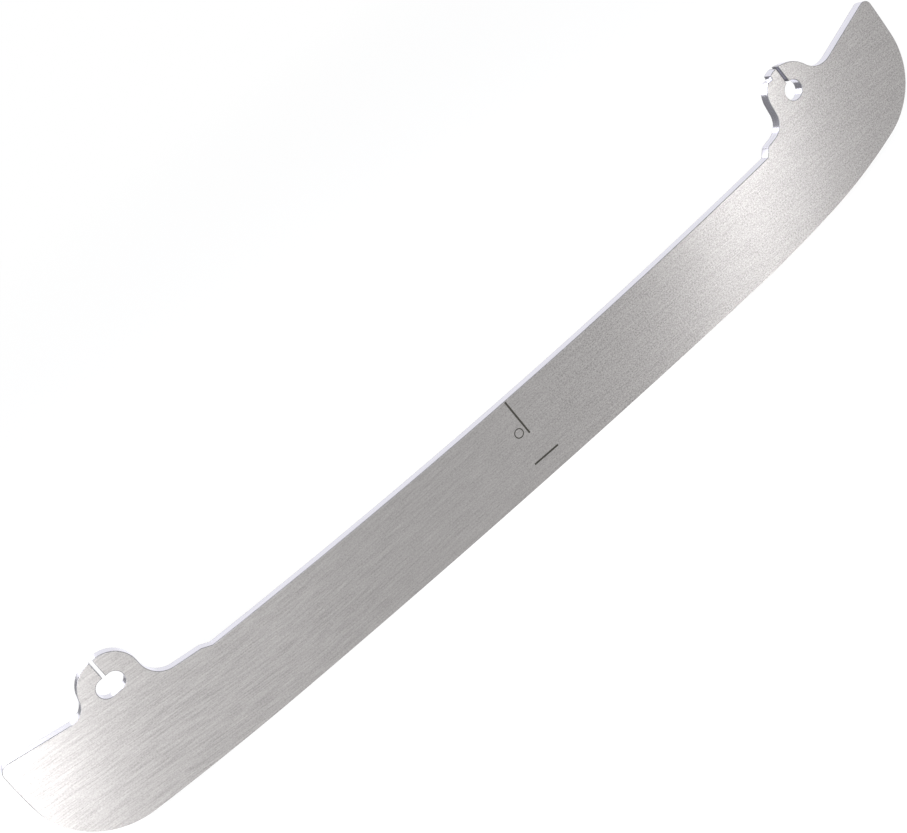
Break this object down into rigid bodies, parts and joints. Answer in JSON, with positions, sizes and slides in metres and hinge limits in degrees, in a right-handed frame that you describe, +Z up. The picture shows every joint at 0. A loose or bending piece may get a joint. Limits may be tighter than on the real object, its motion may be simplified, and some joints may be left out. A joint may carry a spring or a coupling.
{
  "type": "skate runner",
  "caption": "Ice hockey skate runner: a flat steel plate with a rockered, hollow-ground edge below and split lobes above, bored at the toe and slotted at the heel, that fix it in a holder.",
  "frame": {"origin": "centre of the toe bore, in the middle of the plate's thickness", "axes": "+X towards the toe along the runner, +Y across its thickness to the wearer's left, +Z up, away from the ice"},
  "size_m": [0.2799, 0.003, 0.0419],
  "materials": {
    "steel": "brushed along its length, hardened stainless steel"
  },
  "bodies": {
    "root": {"runner": "steel"}
  },
  "joints": []
}
